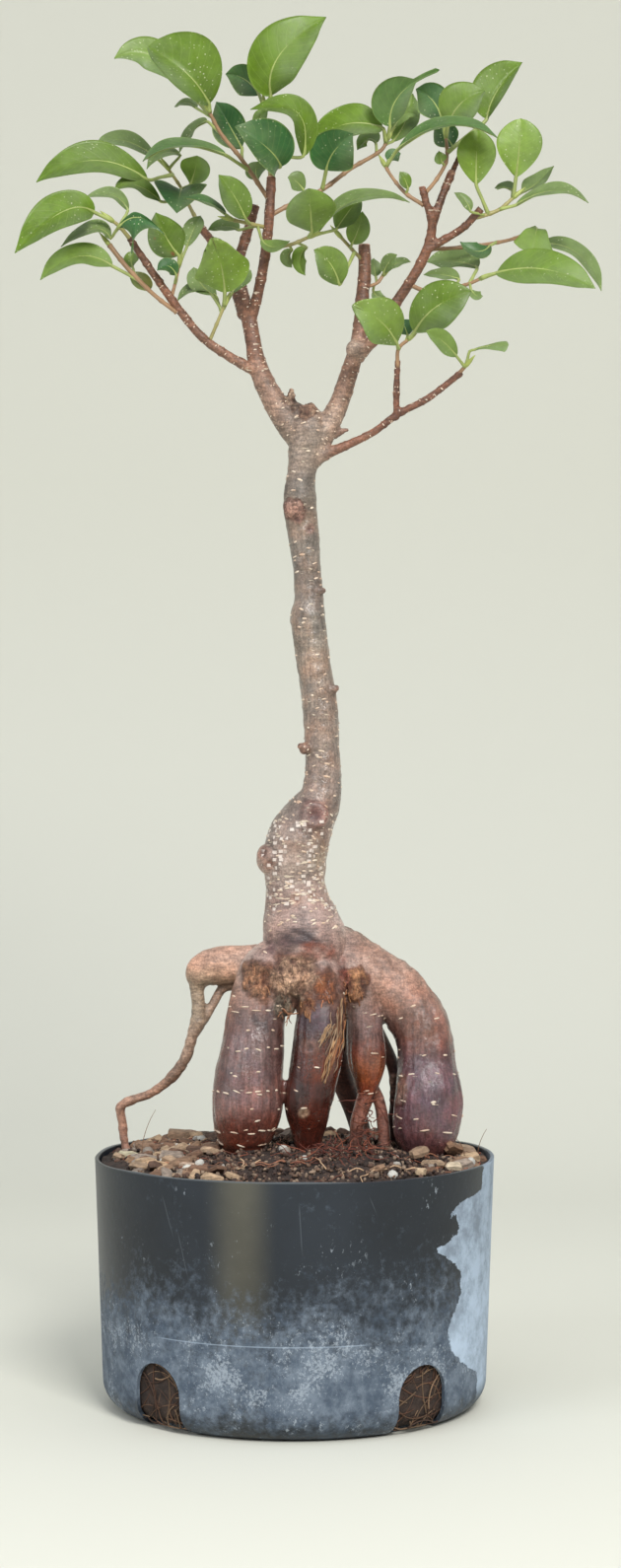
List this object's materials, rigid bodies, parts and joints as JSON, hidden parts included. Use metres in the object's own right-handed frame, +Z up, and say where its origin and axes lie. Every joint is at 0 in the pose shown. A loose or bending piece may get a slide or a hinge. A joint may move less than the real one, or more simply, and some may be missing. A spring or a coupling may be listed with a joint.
{
  "type": "potted ginseng ficus",
  "caption": "Small ficus tree on swollen bare roots, with sparse glossy leaves, planted in a low round black plastic nursery pot.",
  "frame": {"origin": "centre of the flat underside of the pot, on the surface that it stands on", "axes": "+Z up along the pot's axis, -Y towards the viewer of the picture, +X to the viewer's right"},
  "size_m": [0.2168, 0.15, 0.5186],
  "materials": {
    "pot_plastic": "satin, with mineral scale on the lower part",
    "potting_mix": "rough bark chips and pumice",
    "bark": "satin, glossy on the swollen roots",
    "foliage": "glossy leaves on pale green petioles"
  },
  "bodies": {
    "root": {"pot": "pot_plastic", "soil": "potting_mix", "trunk_and_roots": "bark", "spray_top_left": "foliage", "spray_top_centre": "foliage", "spray_centre_left": "foliage", "spray_mid_right": "foliage", "spray_centre_upper": "foliage", "spray_right_inner": "foliage", "spray_right_top": "foliage", "spray_right_outer": "foliage", "spray_right_mid": "foliage", "spray_right_lower": "foliage", "spray_lower_right": "foliage", "spray_far_right_low": "foliage", "spray_heart": "foliage", "spray_left_tip": "foliage", "spray_left_mid": "foliage", "spray_left_lower": "foliage", "spray_left_back": "foliage", "spray_fork_left": "foliage", "spray_fork_right": "foliage"}
  },
  "joints": []
}
